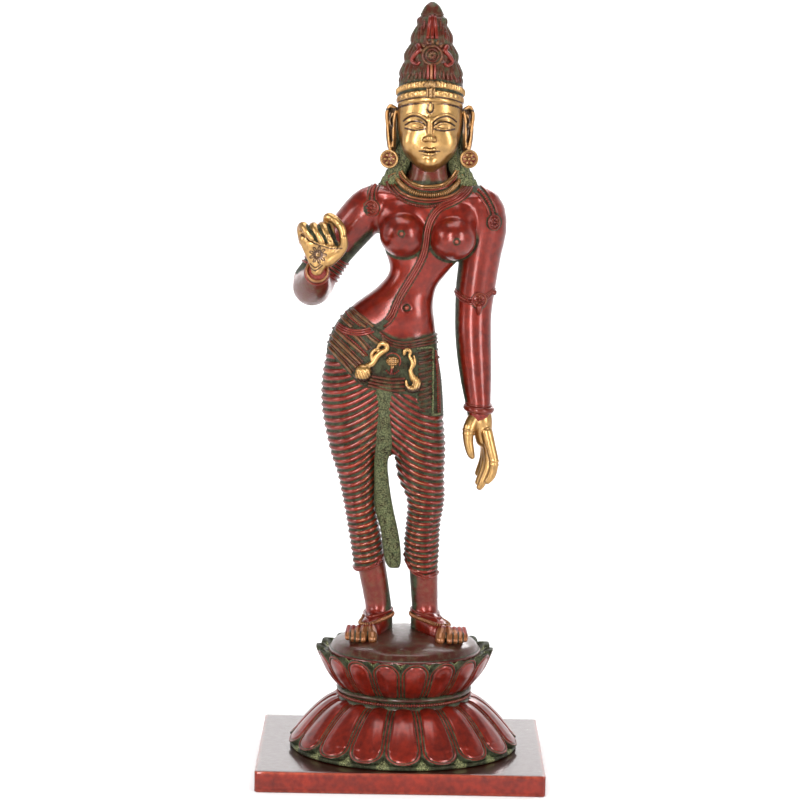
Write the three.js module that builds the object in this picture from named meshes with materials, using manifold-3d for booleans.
// A standing goddess of cast brass on a double lotus, with a flat rectangular base plate.
// Millimetres, +Z up, front towards -Y, origin at the middle of the plate's underside.
import * as THREE from "three";
import { mergeVertices } from "three/addons/utils/BufferGeometryUtils.js";
import Module from "manifold-3d";

const wasm = await Module();
wasm.setup();

// Base plate
const PLATE_WIDTH = 190;
const PLATE_DEPTH = 164;
const PLATE_HEIGHT = 14.2;
const PLATE_CORNER = 2;
const PLATE_EDGE = 0.8;
const SEAM = 0.3;

// Lotus pedestal: radii and heights of its bands, each counted from the band below
const PEDESTAL_SHIFT = 1.7;
const FLANGE_RADIUS = 76.5;
const FLANGE_HEIGHT = 3;
const SKIRT_RADIUS = 77.5;
const SKIRT_HEIGHT = 30;
const WAIST_RADIUS = 44.5;
const WAIST_HEIGHT = 6.5;
const BOWL_RADIUS = 58.5;
const BOWL_HEIGHT = 26;
const DOME_RADIUS = 50.5;
const DOME_HEIGHT = 14.4;
const LOWER_PETALS = 18;
const UPPER_PETALS = 18;
const LOWER_TURN = 0;
const UPPER_TURN = 0.021;
const PETAL_RELIEF = 2.4;
const PETAL_TIP = 4.6;
const DOME_SINK = 0.7;

// Figure: its height from the soles to the crown's tip, its garment and its crown's locks
const FIGURE_HEIGHT = 417.4;
const STANDING_RISE = 2.4;
const FOLD_PITCH = 6.8;
const FOLD_RELIEF = 1.1;
const BELT_HEIGHT = 191;
const BELT_HANG = 23;
const BELT_DIP = 6;
const BELT_RELIEF = 1.6;
const LOCKS = 10;
const LOCK_RELIEF = 0.7;

const TAU = 2 * Math.PI;
const COLUMNS_PER_PETAL = 3;
const V = (x, y, z) => new THREE.Vector3(x, y, z);

// Values between the rows of a table, on a smooth curve through all of them; t runs from 0 to 1.
function between(rows, t) {
  const place = Math.min(Math.max(t, 0), 1) * (rows.length - 1);
  const i = Math.min(Math.floor(place), rows.length - 2);
  const f = place - i;
  const row = (k) => rows[Math.min(Math.max(k, 0), rows.length - 1)];
  return rows[i].map((_, c) => {
    const [a, b, d, e] = [row(i - 1)[c], row(i)[c], row(i + 1)[c], row(i + 2)[c]];
    const slopeIn = (d - a) / 2;
    const slopeOut = (e - b) / 2;
    const f2 = f * f;
    const f3 = f2 * f;
    return (
      (2 * f3 - 3 * f2 + 1) * b + (f3 - 2 * f2 + f) * slopeIn + (3 * f2 - 2 * f3) * d + (f3 - f2) * slopeOut
    );
  });
}

// The row of a table whose first value is h, for tables that climb in h.
function atHeight(rows, h) {
  let low = 0;
  let high = 1;
  for (let i = 0; i < 40; i++) {
    const mid = (low + high) / 2;
    if (between(rows, mid)[0] < h) low = mid;
    else high = mid;
  }
  return between(rows, (low + high) / 2);
}

// A closed skin over rings of points that hold the same number of points each.
function skin(rings) {
  const around = rings[0].length;
  const points = rings.flat();
  const centre = (ring) => ring.reduce((sum, p) => sum.add(p), V(0, 0, 0)).divideScalar(around);
  const first = points.push(centre(rings[0])) - 1;
  const last = points.push(centre(rings[rings.length - 1])) - 1;
  const faces = [];
  for (let i = 0; i < around; i++) {
    const j = (i + 1) % around;
    for (let k = 0; k + 1 < rings.length; k++) {
      const a = k * around + i;
      const b = k * around + j;
      faces.push(a, b, b + around, a, b + around, a + around);
    }
    const top = (rings.length - 1) * around;
    faces.push(first, j, i, last, top + i, top + j);
  }
  const geometry = new THREE.BufferGeometry();
  geometry.setAttribute("position", new THREE.Float32BufferAttribute(points.flatMap((p) => p.toArray()), 3));
  geometry.setIndex(faces);
  return geometry;
}

function solid(geometry) {
  const bare = geometry.clone();
  bare.deleteAttribute("normal");
  bare.deleteAttribute("uv");
  const merged = mergeVertices(bare, 1e-4);
  const vertProperties = new Float32Array(merged.attributes.position.array);
  const triVerts = new Uint32Array(merged.index.array);
  const made = new wasm.Manifold(new wasm.Mesh({ numProp: 3, vertProperties, triVerts }));
  if (made.volume() > 0) return made;
  for (let i = 0; i < triVerts.length; i += 3) {
    [triVerts[i + 1], triVerts[i + 2]] = [triVerts[i + 2], triVerts[i + 1]];
  }
  return new wasm.Manifold(new wasm.Mesh({ numProp: 3, vertProperties, triVerts }));
}

const joined = (solids) => solids.reduce((whole, piece) => whole.add(piece));

function geometryOf(manifold) {
  const { vertProperties, triVerts, numProp } = manifold.getMesh();
  const positions = new Float32Array((vertProperties.length / numProp) * 3);
  for (let i = 0; i < positions.length / 3; i++) {
    positions.set(vertProperties.subarray(i * numProp, i * numProp + 3), i * 3);
  }
  const geometry = new THREE.BufferGeometry();
  geometry.setAttribute("position", new THREE.BufferAttribute(positions, 3));
  geometry.setIndex(new THREE.BufferAttribute(new Uint32Array(triVerts), 1));
  geometry.computeVertexNormals();
  return geometry;
}

// A level ring: halfWidth across, front and back its depths either side of y, squareness 2 for an ellipse.
function levelRing({ h, x, y = 0, halfWidth, front, back = front, around, squareness = 2, lift = () => 0 }) {
  const ring = [];
  for (let i = 0; i < around; i++) {
    const angle = (TAU * i) / around;
    const across = Math.sign(Math.cos(angle)) * Math.abs(Math.cos(angle)) ** (2 / squareness);
    const deep = Math.sign(Math.sin(angle)) * Math.abs(Math.sin(angle)) ** (2 / squareness);
    ring.push(V(x + halfWidth * across, y + deep * (deep > 0 ? back : front), h + lift(across, deep)));
  }
  return ring;
}

// One ring of a limb at t along its rows of [x, y, h, halfWidth, halfDepth]; halfWidth lies along side.
function limbRing(rows, t, { around, side, share = 1, grow = 0, along = 0 }) {
  const place = (at) => V(...between(rows, at).slice(0, 3));
  const tangent = place(Math.min(t + 0.01, 1)).sub(place(Math.max(t - 0.01, 0))).normalize();
  const wide = side.clone().addScaledVector(tangent, -side.dot(tangent)).normalize();
  const deep = tangent.clone().cross(wide);
  const row = between(rows, t);
  return Array.from({ length: around }, (_, i) => {
    const angle = (TAU * i) / around;
    return place(t)
      .addScaledVector(wide, (row[3] * share + grow) * Math.cos(angle))
      .addScaledVector(deep, (row[4] * share + grow) * Math.sin(angle))
      .addScaledVector(tangent, along * row[4]);
  });
}

// A limb or cord along its rows, blunt at its far end.
function limb(rows, { around = 8, steps = 8, side = V(1, 0, 0), blunt = 0.6 } = {}) {
  const rings = [];
  for (let k = 0; k <= steps; k++) rings.push(limbRing(rows, k / steps, { around, side }));
  rings.push(limbRing(rows, 1, { around, side, share: 0.55, along: blunt }));
  return solid(skin(rings));
}

// A band round a limb, such as an armlet, standing grow out of it between two places.
function collar(rows, from, to, grow, { around = 8, side = V(1, 0, 0) } = {}) {
  return solid(
    skin([
      limbRing(rows, from, { around, side, grow: grow * 0.3 }),
      limbRing(rows, (from + to) / 2, { around, side, grow }),
      limbRing(rows, to, { around, side, grow: grow * 0.3 }),
    ]),
  );
}

// A closed cord through points, such as a necklace.
function cordRing(pointAt, radius, { along = 16, around = 3 } = {}) {
  const points = Array.from({ length: along }, (_, i) => pointAt((TAU * i) / along));
  const positions = [];
  for (let i = 0; i < along; i++) {
    const tangent = points[(i + 1) % along].clone().sub(points[(i + along - 1) % along]).normalize();
    const up = V(0, 0, 1).addScaledVector(tangent, -tangent.z).normalize();
    const out = tangent.clone().cross(up);
    for (let k = 0; k < around; k++) {
      const angle = (TAU * (k + 0.25)) / around;
      const p = points[i].clone();
      p.addScaledVector(up, radius * Math.cos(angle)).addScaledVector(out, radius * Math.sin(angle));
      positions.push(...p.toArray());
    }
  }
  const faces = [];
  for (let i = 0; i < along; i++) {
    const next = (i + 1) % along;
    for (let k = 0; k < around; k++) {
      const m = (k + 1) % around;
      const [a, b, c, d] = [i * around + k, next * around + k, next * around + m, i * around + m];
      faces.push(a, b, c, a, c, d);
    }
  }
  const geometry = new THREE.BufferGeometry();
  geometry.setAttribute("position", new THREE.Float32BufferAttribute(positions, 3));
  geometry.setIndex(faces);
  return solid(geometry);
}

function ball(x, y, h, [rx, ry, rz], segments = 8, rows = 4) {
  const geometry = new THREE.SphereGeometry(1, segments, rows).scale(rx, rz, ry);
  geometry.rotateX(Math.PI / 2).translate(x, y, h);
  return solid(geometry);
}

// How far across its petal a column lies, squared: 0 on the midrib, 1 in the groove between two petals.
function acrossPetal(angle, petals, turn) {
  const turns = (angle / TAU + 0.25 - turn) * petals;
  return (2 * (turns - Math.round(turns))) ** 2;
}

// One band of petals: rows of [height, radius, relief, tip], bottom to top, the whole turned by a share of a turn.
function petalBand(rows, petals, turn) {
  const around = petals * COLUMNS_PER_PETAL;
  const start = (turn - 0.25) * TAU + Math.PI / petals;
  return solid(
    skin(
      rows.map(([h, radius, relief, tip]) =>
        Array.from({ length: around }, (_, i) => {
          const angle = start + (TAU * i) / around;
          const groove = acrossPetal(angle, petals, turn);
          const r = radius - relief * groove;
          return V(r * Math.cos(angle), r * Math.sin(angle), h + tip * groove);
        }),
      ),
    ),
  );
}

function lotus() {
  const skirtTop = FLANGE_HEIGHT + SKIRT_HEIGHT;
  const waistTop = skirtTop + WAIST_HEIGHT;
  const bowlTop = waistTop + BOWL_HEIGHT;
  const skirtSpan = SKIRT_RADIUS - WAIST_RADIUS;
  const skirtRow = (up) => {
    const radius = WAIST_RADIUS + skirtSpan * (1 - up) ** 0.66;
    return [FLANGE_HEIGHT + SKIRT_HEIGHT * up, radius, PETAL_RELIEF, 0];
  };
  const lower = petalBand(
    [
      [0, FLANGE_RADIUS, 0, 0],
      [FLANGE_HEIGHT, FLANGE_RADIUS - 0.8, 0, 0],
      [FLANGE_HEIGHT, FLANGE_RADIUS - 5, 0, 0],
      [FLANGE_HEIGHT + 0.3, SKIRT_RADIUS, 0, PETAL_TIP],
      ...[0.2, 0.5, 0.8].map(skirtRow),
      [skirtTop, WAIST_RADIUS + 1, 0, 0],
    ],
    LOWER_PETALS,
    LOWER_TURN,
  );
  const waist = solid(
    new THREE.LatheGeometry(
      [
        [0, -1],
        [WAIST_RADIUS - 1, -1],
        [WAIST_RADIUS, 1.4],
        [WAIST_RADIUS, WAIST_HEIGHT - 1.6],
        [WAIST_RADIUS - 4, WAIST_HEIGHT + 1],
        [0, WAIST_HEIGHT + 1],
      ].map(([r, z]) => new THREE.Vector2(r, z)),
      24,
    )
      .rotateX(Math.PI / 2)
      .translate(0, 0, skirtTop),
  );
  const bowlFoot = WAIST_RADIUS - 3.5;
  const bowlRow = (up) => [
    waistTop + BOWL_HEIGHT * up,
    bowlFoot + (BOWL_RADIUS - bowlFoot) * Math.sin((up * 0.94 * Math.PI) / 2) ** 0.78,
    PETAL_RELIEF * Math.min(1, up * 3),
    0,
  ];
  const upper = petalBand(
    [
      [waistTop - 0.5, bowlFoot, 0, 0],
      ...[0.16, 0.44, 0.76].map(bowlRow),
      [bowlTop + 1, BOWL_RADIUS + 0.5, PETAL_RELIEF, -PETAL_TIP],
      [bowlTop - 1, DOME_RADIUS + 1, 0, -1.5],
      [bowlTop - 4, DOME_RADIUS - 2, 0, 0],
    ],
    UPPER_PETALS,
    UPPER_TURN,
  );
  const domeRow = (share) => new THREE.Vector2(
    DOME_RADIUS * share,
    (DOME_HEIGHT - 1.5) * Math.sqrt(Math.max(0, 1 - share ** 2)) + 1.5,
  );
  const dome = solid(
    new THREE.LatheGeometry(
      [
        new THREE.Vector2(0, -6),
        new THREE.Vector2(DOME_RADIUS - 1.5, -6),
        new THREE.Vector2(DOME_RADIUS, -1),
        ...[1, 0.94, 0.76, 0.45].map(domeRow),
        new THREE.Vector2(0, DOME_HEIGHT),
      ],
      24,
    )
      .rotateX(Math.PI / 2)
      .translate(0, 0, bowlTop - DOME_SINK),
  );
  return [lower, waist, upper, dome];
}

// The figure's own tables: shares of its drawn height, in drawn millimetres above the soles.
// Trunk rows: height, middle, half width, depth in front, depth behind.
const TRUNK = [
  [118, -12.6, 26, 11, 13],
  [124, -13.2, 33, 15, 17],
  [133, -14.4, 39, 19.4, 22.6],
  [145, -15.9, 40.2, 21.4, 26.4],
  [158, -16.6, 40.6, 21.6, 27],
  [170, -16.9, 39.4, 21.4, 26],
  [183, -17, 36.8, 20.5, 22],
  [195, -16, 35, 19.4, 18],
  [206, -13.8, 31.6, 17.8, 15],
  [217, -9.4, 26, 16, 13],
  [229, -0.6, 19.4, 15, 12.5],
  [240, 7, 19.6, 15.5, 13.2],
  [253, 10.6, 26.4, 16.5, 15],
  [268, 11.8, 33, 16.5, 16.5],
  [282, 11, 37, 14, 15.5],
  [291, 11.6, 28, 11, 13.5],
  [299, 12.2, 14, 10, 12],
  [314, 12.4, 11.2, 9.5, 12],
];
// Leg rows: height, middle, half width, y of the middle, half depth; the skirt first, then the bare shin.
const RIGHT_SKIRT = [
  [38, -23, 10.6, 4, 11.6],
  [59, -25.6, 11.3, 2, 13],
  [80, -29.7, 10.8, 0, 13.6],
  [102, -32.1, 13.2, 0, 16],
  [118, -34.2, 16.4, 1, 18],
  [128, -34.8, 17, 1, 18.8],
];
const LEFT_SKIRT = [
  [33, 12.9, 10.4, 4, 11.6],
  [53, 11.9, 12.2, 2, 13],
  [69, 12.6, 11.9, 0, 13.4],
  [86, 14, 12.9, -1, 14.4],
  [102, 10.6, 16, -1, 16.5],
  [128, 9.4, 17.4, 0, 18.6],
];
const RIGHT_SHIN = [
  [-4, -16.6, 8.6, 8, 10],
  [9, -16.4, 8.4, 6, 9],
  [20, -17.8, 8.8, 5.5, 9],
  [44, -23.8, 9.4, 4.5, 10],
];
const LEFT_SHIN = [
  [-4, 15.2, 8.6, 8, 10],
  [9, 15, 8.4, 6, 9],
  [20, 14.5, 8.4, 5.5, 9],
  [40, 12.8, 9.2, 4.5, 10],
];
// Head and crown rows: height, middle, half width, depth in front, depth behind.
const HEAD = [
  [307, 12.4, 5, 12, 2],
  [310.5, 12.4, 11, 17.6, 9],
  [318, 12.4, 16.8, 19.6, 14],
  [330, 12.3, 20.6, 20.2, 19],
  [344, 12.3, 21.6, 20, 22],
  [366, 12.4, 21.4, 19, 22],
];
const CROWN = [
  [352, 12.4, 21.4, 19.4, 22],
  [353, 12.4, 22.8, 20.8, 23.2],
  [366, 12.5, 22.2, 20.4, 22.4],
  [367, 12.5, 20, 18.6, 20.2],
  [371, 12.5, 20.6, 19.2, 20.6],
  [378, 12.5, 17.6, 16.6, 17.6],
  [383, 12.5, 17.4, 16.6, 17.4],
  [389.6, 12.6, 14, 13.6, 14],
  [395, 12.7, 13.3, 13, 13.2],
  [401, 12.7, 10, 9.8, 10],
  [405, 12.7, 9.7, 9.6, 9.7],
  [411, 12.7, 7, 6.8, 7],
  [415, 12.7, 4.6, 4.5, 4.6],
  [417.4, 12.7, 1.4, 1.4, 1.4],
];
const DIADEM_TOP = (CROWN[2][0] + CROWN[3][0]) / 2;
// Limb rows: x, y, height, half width, half depth.
const LEFT_ARM = [
  [36, 2, 290, 8, 8.6],
  [46.4, 3, 282.6, 15, 12.4],
  [50.2, 4, 270, 15, 13.4],
  [47.5, 5, 250, 13.8, 13],
  [45, 6, 230, 13.4, 12.5],
  [43.7, 6, 212, 12.3, 12],
  [44, 4, 194, 12.2, 11.4],
  [45.8, 1, 172, 10.9, 10.2],
  [47.8, -2, 153, 8.8, 8.2],
];
const RIGHT_UPPER_ARM = [
  [-14, 3, 290, 9, 10],
  [-26, 3, 283, 13, 15],
  [-37.2, 4, 268.4, 13.2, 15],
  [-51.5, 6, 250, 12.5, 13],
  [-63.4, 6, 231.5, 12.6, 13.2],
];
const RIGHT_FOREARM = [
  [-64.6, 3, 229, 13, 12.8],
  [-64, -12, 229, 12.8, 12],
  [-61, -30, 233, 10.4, 9.8],
  [-59, -45, 239, 7.6, 7],
];

// The drawing is scaled to the figure's height; drawn turns a size of the figure into the drawing's.
const DRAWN_HEIGHT = CROWN[CROWN.length - 1][0];
const drawn = (size) => (size * DRAWN_HEIGHT) / FIGURE_HEIGHT;
const BELT = drawn(BELT_HEIGHT);
const FOLDS_TOP = drawn(BELT_HEIGHT - BELT_HANG);

// y of the trunk's skin at x and h: in front, or behind where side is 1.
function trunkSkin(x, h, side = -1) {
  const [, middle, halfWidth, front, back] = atHeight(TRUNK, h);
  const across = Math.min(Math.abs((x - middle) / halfWidth), 0.98);
  return side * (side > 0 ? back : front) * (1 - across ** 2.4) ** (1 / 2.4);
}

function column(rows, { around, steps, squareness = 2 }) {
  const rings = [];
  for (let k = 0; k <= steps; k++) {
    const [h, x, halfWidth, front, back] = between(rows, k / steps);
    rings.push(levelRing({ h, x, halfWidth, front, back, around, squareness }));
  }
  return solid(skin(rings));
}

function shin(rows) {
  const rings = rows.map(([h, x, halfWidth, y, depth]) =>
    levelRing({ h, x, y, halfWidth, front: depth, around: 8 }),
  );
  return solid(skin(rings));
}

// A trouser leg of round folds that rise towards the inner side; inner is +1 where that side is at +x.
function foldedLeg(rows, inner) {
  const bottom = rows[0][0];
  const top = rows[rows.length - 1][0];
  const folds = Math.round((top - bottom) / drawn(FOLD_PITCH));
  const relief = drawn(FOLD_RELIEF);
  const rings = [];
  for (let k = 0; k <= 2 * folds; k++) {
    const h = bottom + ((top - bottom) * k) / (2 * folds);
    const [, x, halfWidth, y, depth] = atHeight(rows, h);
    const out = k % 2 ? relief / 2 : -relief / 2;
    const rise = 5 + 6 * Math.max(0, (h - bottom) / (top - bottom));
    const lift = (across, deep) => rise * Math.max(0, inner * across + 0.2) * (deep < 0 ? 1 : 0.4);
    rings.push(
      levelRing({ h, x, y, halfWidth: halfWidth + out, front: depth + out, around: 8, lift }),
    );
  }
  return solid(skin(rings));
}

// Hips in round folds that rise towards the middle, then the bare waist, chest and neck.
function trunk() {
  const bottom = TRUNK[0][0];
  const top = TRUNK[TRUNK.length - 1][0];
  const heights = [];
  const step = drawn(FOLD_PITCH) / 2;
  for (let h = bottom; h < FOLDS_TOP; h += step) heights.push(h);
  heights.push(BELT - 8, BELT - 7, BELT - 1, BELT + 1, BELT + 6.4, BELT + 7.4);
  const bare = 8;
  for (let k = 1; k <= bare; k++) heights.push(BELT + 8 + ((top - BELT - 8) * k) / bare);
  const rings = heights.map((h, k) => {
    const [, x, halfWidth, front, back] = atHeight(TRUNK, h);
    const folded = h < FOLDS_TOP;
    const belted = Math.abs(Math.abs(h - BELT) - 4) < 3.1;
    const out = drawn(folded ? ((k % 2) - 0.5) * FOLD_RELIEF : belted ? BELT_RELIEF : 0);
    const rise = folded ? 7 * Math.min(1, (h - bottom) / 12) : 0;
    const dip = Math.abs(h - BELT) < 9 ? drawn(BELT_DIP) : 0;
    const lift = (across, deep) => {
      const climb = rise * (deep < 0 ? 1 : 0.4) - dip * (deep < 0 ? 1 : -0.3);
      return climb * (1 - across ** 2) - rise / 3;
    };
    return levelRing({
      h,
      x,
      halfWidth: halfWidth + out,
      front: front + out,
      back: back + out,
      around: 12,
      squareness: 2.4,
      lift,
    });
  });
  const parts = [solid(skin(rings))];
  for (const [x, h] of [[-4.4, 265.4], [28.6, 263]]) parts.push(ball(x, -14, h, [14.6, 14.8, 14.2], 10, 6));
  return parts;
}

function head() {
  const parts = [column(HEAD, { around: 12, steps: 6, squareness: 2.3 })];
  const faceX = 12.3;
  // Nose from bridge to tip, then the eyes, lips and chin
  const nose = [[faceX, -19.6, 343, 1.8, 1.8], [faceX, -21.6, 334, 2, 2], [faceX, -23.2, 327.6, 3.2, 2.6]];
  parts.push(limb(nose, { around: 5, steps: 2 }));
  for (const side of [-1, 1]) {
    const eyeX = faceX + side * 8.6;
    parts.push(ball(eyeX, -17.8, 336.4, [4.6, 2.6, 2.1], 6, 4));
  }
  parts.push(ball(faceX, -19.4, 320.4, [5, 2.2, 1.3], 6, 4));
  parts.push(ball(faceX, -19.2, 317.6, [4.2, 2.2, 1.5], 6, 4));
  parts.push(ball(faceX, -17.4, 312.6, [4.4, 2.4, 2.8], 6, 4));
  // Ears with round earrings
  for (const side of [-1, 1]) {
    const earX = 12.4 + side * 23.8;
    parts.push(ball(earX, -1, 334.5, [6, 4.4, 16.4], 6, 5));
    const disc = new THREE.CylinderGeometry(6.4, 6.8, 6, 9);
    parts.push(solid(disc.translate(earX + side * 1.9, -3, 314.2)));
  }
  return parts;
}

// The diadem and the tall crown of coiled locks: every second column of the locks stands out.
function crown() {
  const relief = drawn(LOCK_RELIEF);
  const rings = CROWN.map(([h, x, halfWidth, front, back]) => {
    const ring = levelRing({ h, x, halfWidth, front, back, around: 2 * LOCKS });
    if (h < DIADEM_TOP) return ring;
    const axis = V(x, 0, h);
    return ring.map((p, i) => {
      const out = p.clone().sub(axis);
      return p.addScaledVector(out.normalize(), (i % 2 ? -relief : relief) * Math.min(1, halfWidth / 8));
    });
  });
  return [
    solid(skin(rings)),
    ball(12.2, -20.8, 367, [5.4, 2.6, 3.4], 6, 4),
    ball(12.6, -17.2, 380, [6, 3.4, 6.4], 7, 4),
    ball(12.6, -13.6, 391, [2.6, 2.6, 7], 6, 4),
  ];
}

// The mass of hair behind the neck that spreads over the shoulders.
function hair() {
  const rows = [
    [287, 32, 7, 6.5],
    [295, 36.6, 7, 7.5],
    [299, 35.4, 7, 8],
    [304, 29.6, 6.6, 9],
    [312, 24, 6.6, 9.5],
    [328, 18, 8, 10],
  ];
  return solid(
    skin(rows.map(([h, halfWidth, y, front]) => levelRing({ h, x: 12.4, y, halfWidth, front, around: 10 }))),
  );
}

function jewellery() {
  // Necklace: an oval seen from the front, lying on the chest and rising round the neck
  const necklace = cordRing((a) => {
    const x = 12.2 + 22 * Math.sin(a);
    const toFront = (1 + Math.cos(a)) / 2;
    const h = 297 - 17 * toFront;
    return V(x, trunkSkin(x, h, Math.cos(a) > 0.05 ? -1 : 1), h);
  }, 2.2, { along: 14 });
  // Sacred thread from her left shoulder to the right hip
  const thread = [[35, 290], [20.8, 283.4], [12, 268.5], [10.8, 257], [7.7, 246.9], [0.9, 234.6]];
  thread.push([-6.6, 221.8], [-10.6, 211.7], [-15.9, 205.4], [-23.9, 201.3], [-34, 199.4], [-43.5, 202]);
  const threadRows = thread.map(([x, h]) => [x, trunkSkin(x, h) - 0.2, h, 1.9, 1.3]);
  const [, rightY, , rightDepth] = RIGHT_UPPER_ARM[1];
  const [, leftY, , , leftDepth] = LEFT_ARM[2];
  return [
    necklace,
    limb(threadRows, { around: 3, steps: 11, side: V(0, 0, 1) }),
    // Armlet with its rosette, bangles, elbow band and shoulder rosettes
    collar(LEFT_ARM, 0.47, 0.53, 1.8),
    ball(47.2, LEFT_ARM[5][1] - LEFT_ARM[5][4], 219.4, [4.4, 2.4, 5], 6, 4),
    collar(LEFT_ARM, 0.95, 0.995, 2),
    collar(RIGHT_FOREARM, 0.93, 0.99, 1.6),
    collar(RIGHT_UPPER_ARM, 0.7, 0.78, 1.2, { side: V(0, 1, 0) }),
    ball(-25.2, rightY - rightDepth, 281.6, [4.9, 3, 4.9], 6, 4),
    ball(55.6, leftY - 0.92 * leftDepth, 273.2, [4.9, 3, 4.9], 6, 4),
  ];
}

// Everything at the belt is drawn from the belt's line: rows of x, rise above it, half width.
function girdle() {
  const onTrunk = (x, rise, lift) => [x, trunkSkin(x, BELT + rise) - lift, BELT + rise];
  // The hanging loop of the sash
  const sash = [-1, -0.6, 0, 0.6, 1].map((s) => [...onTrunk(15 * s - 12, 9 * s * s - 27, 1.2), 1.9, 1.8]);
  // Beast-head clasps on both sides of a central flower
  const rightClasp = [[-28.6, -20, 4.8], [-28, -15.6, 4.4], [-24.4, -11.4, 2.6], [-21.4, -7, 2.4]];
  rightClasp.push([-18.6, -1.6, 2.4], [-14.6, 0.6, 2]);
  const leftClasp = [[0, -25.6, 1.8], [4, -28.4, 2.6], [7.2, -25, 3.2], [4, -19, 2.6], [3.2, -12, 2]];
  leftClasp.push([1.6, -4, 2], [-1.6, -3.4, 1.6]);
  const drawClasp = (clasp) => {
    const rows = clasp.map(([x, rise, r]) => [...onTrunk(x, rise, 1.2), r, r]);
    return limb(rows, { around: 4, steps: 5, side: V(0, 1, 0) });
  };
  const [flowerX, flowerY, flowerH] = onTrunk(-9.6, -9.6, 1);
  // Pleat between the legs, and the flat sash end on the left hip
  const pleat = [[...onTrunk(-12, -27, 0), 6.4, 3.6], [-14.6, -17, 140, 5.4, 5], [-17.2, -10, 112, 5.2, 6.4]];
  pleat.push([-15.4, -6.6, 86, 5.6, 6], [-10.8, -5, 62, 5.8, 4.8], [-7.4, -4.4, 42, 4.4, 3]);
  const sashEnd = [[13.6, 1], [18.6, -23], [20, -46]].map(([x, rise]) => [...onTrunk(x, rise, 0), 4.4, 3.4]);
  return [
    limb(sash, { around: 4, steps: 5, side: V(0, 0, 1) }),
    drawClasp(rightClasp),
    drawClasp(leftClasp),
    ball(flowerX, flowerY, flowerH, [4.4, 2.6, 4], 6, 4),
    limb(pleat, { around: 5, steps: 6 }),
    limb(sashEnd, { around: 5, steps: 3 }),
  ];
}

// A hand: the palm's rows, then each finger from its knuckle to its tip as rows of x, y, height, radius.
function hand(palm, fingers) {
  const drawFinger = (rows) =>
    limb(rows.map((row) => [...row, row[3]]), { around: 4, steps: 3, blunt: 0.5 });
  return [limb(palm, { around: 7, steps: 3 }), ...fingers.map(drawFinger)];
}

// The left hand hangs, its thumb in front.
function leftHand() {
  return hand([[49.2, -2, 151, 7, 7], [50.4, -2.6, 140, 7.2, 7], [52.2, -3, 128, 5.6, 7]], [
    [[54, -7.4, 133, 3.8], [58.2, -9.2, 118, 3.2], [58.4, -9.4, 107.5, 3], [54.8, -9.4, 100.4, 2.2]],
    [[53.4, -3, 131, 3.7], [55.7, -3.7, 117, 3.3], [53.8, -4, 104.5, 2.9], [50, -4, 95.6, 2.2]],
    [[52.8, 1, 131, 3.5], [54.2, 1, 118, 3.1], [52.2, 1, 106, 2.8], [49, 1, 98, 2.1]],
    [[52, 4.4, 131, 3.1], [53, 4.6, 120, 2.8], [51.2, 4.6, 110, 2.5], [48.8, 4.6, 103.6, 2]],
    [[46, -5, 143, 4.4], [42.2, -8.4, 135, 4], [41.8, -9.8, 126, 3.2], [44.4, -10, 117, 1.9]],
  ]);
}

// The right hand is raised, palm forward, its fingers curled and the thumb meeting the index finger.
function rightHand() {
  const palm = [[-59.4, -46.5, 240, 6.6, 5.4], [-59, -48, 249, 9.6, 5.6], [-58, -48.6, 258, 13.2, 5.2]];
  palm.push([-58, -48.6, 265, 13, 4.6]);
  return hand(palm, [
    [[-68.6, -47, 262, 3.2], [-69.4, -48, 270.4, 3.1], [-66.4, -55, 270, 2.9], [-62.8, -57, 264.8, 2.3]],
    [[-63, -47, 262, 3.2], [-62.6, -48, 270.6, 3.1], [-60, -55, 269.6, 2.9], [-56.2, -57.2, 263, 2.3]],
    [[-57.4, -47, 262, 3.2], [-56.8, -48, 271, 3.1], [-54, -55.4, 269, 2.9], [-50.6, -57.6, 262, 2.3]],
    [[-50.6, -47, 261, 3.8], [-52.6, -48, 276, 3.2], [-47.4, -52.4, 275.4, 3], [-43, -54.8, 266, 2.4]],
    [[-52, -49, 250, 4.4], [-45.8, -51, 255, 3.6], [-42.8, -53.6, 260, 3], [-42.6, -55.2, 265, 2.4]],
  ]);
}

// A foot: the ankle at heelX, the toes at toeX; outward is -1 for her right foot and +1 for the left.
function foot(heelX, toeX, outward) {
  const parts = [
    limb(
      [
        [heelX, 14, -0.5, 7, 5],
        [heelX, 2, 2, 8.4, 8],
        [(heelX + toeX) / 2, -12, -1.5, 9.6, 5.4],
        [toeX, -23, -4, 10.4, 3.6],
      ],
      { around: 8, steps: 3 },
    ),
  ];
  for (let i = 0; i < 5; i++) {
    const x = toeX + outward * (-7.6 + 3.9 * i);
    const size = i ? 1.9 : 2.7;
    const back = 0.9 * i;
    const rows = [[x, -21 + back, -2.5, size, size], [x + outward * 0.6, -30 + back, -4.6, size, size * 0.8]];
    parts.push(limb(rows, { around: 4, steps: 1 }));
  }
  // Anklet, lower in front than behind
  const x = (2 * heelX + toeX) / 3;
  const lift = (across, deep) => 2.4 * deep;
  const anklet = [[1.2, 10], [3.6, 11.9], [6, 10]].map(([h, radius]) =>
    levelRing({ h, x, y: -1, halfWidth: radius, front: radius + 1.4, around: 10, lift }),
  );
  parts.push(solid(skin(anklet)));
  return parts;
}

function figure() {
  const parts = [
    ...trunk(),
    foldedLeg(RIGHT_SKIRT, 1),
    foldedLeg(LEFT_SKIRT, -1),
    shin(RIGHT_SHIN),
    shin(LEFT_SHIN),
    limb(LEFT_ARM, { around: 8, steps: 6 }),
    limb(RIGHT_UPPER_ARM, { around: 8, steps: 5, side: V(0, 1, 0) }),
    limb(RIGHT_FOREARM, { around: 8, steps: 4 }),
    ...head(),
    ...crown(),
    hair(),
    ...jewellery(),
    ...girdle(),
    ...leftHand(),
    ...rightHand(),
    ...foot(-16.4, -27.4, -1),
    ...foot(15, 32.6, 1),
  ];
  return joined(parts);
}

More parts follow.
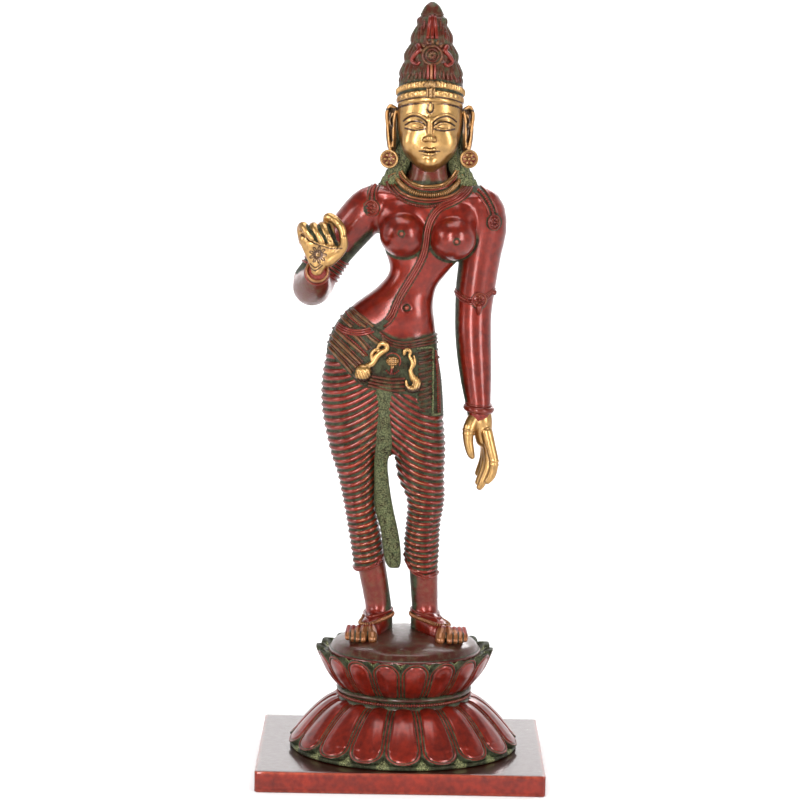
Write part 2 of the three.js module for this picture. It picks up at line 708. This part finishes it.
const FACES_ON_PLATE = PLATE_HEIGHT + SEAM;
const PEDESTAL_HEIGHT =
  FLANGE_HEIGHT + SKIRT_HEIGHT + WAIST_HEIGHT + BOWL_HEIGHT - DOME_SINK + DOME_HEIGHT;

const placed = (manifold, { x = 0, z = 0, scale = 1 }) =>
  solid(geometryOf(manifold).scale(scale, scale, scale).translate(x, 0, z));

function castFigure() {
  const figureScale = FIGURE_HEIGHT / DRAWN_HEIGHT;
  const soles = FACES_ON_PLATE + PEDESTAL_HEIGHT + STANDING_RISE;
  const goddess = placed(figure(), { z: soles, scale: figureScale });
  const pedestal = placed(joined(lotus()), { x: PEDESTAL_SHIFT, z: FACES_ON_PLATE });
  return goddess.add(pedestal);
}

function basePlate() {
  const [w, d] = [PLATE_WIDTH / 2 - PLATE_EDGE, PLATE_DEPTH / 2 - PLATE_EDGE];
  const outline = new THREE.Shape();
  outline.moveTo(-w + PLATE_CORNER, -d);
  outline.lineTo(w - PLATE_CORNER, -d);
  outline.quadraticCurveTo(w, -d, w, -d + PLATE_CORNER);
  outline.lineTo(w, d - PLATE_CORNER);
  outline.quadraticCurveTo(w, d, w - PLATE_CORNER, d);
  outline.lineTo(-w + PLATE_CORNER, d);
  outline.quadraticCurveTo(-w, d, -w, d - PLATE_CORNER);
  outline.lineTo(-w, -d + PLATE_CORNER);
  outline.quadraticCurveTo(-w, -d, -w + PLATE_CORNER, -d);
  const plate = new THREE.ExtrudeGeometry(outline, {
    depth: PLATE_HEIGHT - 2 * PLATE_EDGE,
    bevelEnabled: true,
    bevelThickness: PLATE_EDGE,
    bevelSize: PLATE_EDGE,
    bevelSegments: 1,
    curveSegments: 3,
  });
  return solid(plate.translate(0, 0, PLATE_EDGE));
}

const LACQUER = new THREE.MeshStandardMaterial({ color: 0x6e1a16, roughness: 0.35, metalness: 0.6 });

const group = new THREE.Group();
const pieces = { figure: castFigure(), base_plate: basePlate() };
for (const [name, piece] of Object.entries(pieces)) {
  const mesh = new THREE.Mesh(geometryOf(piece), LACQUER);
  mesh.name = name;
  group.add(mesh);
}

export default group;
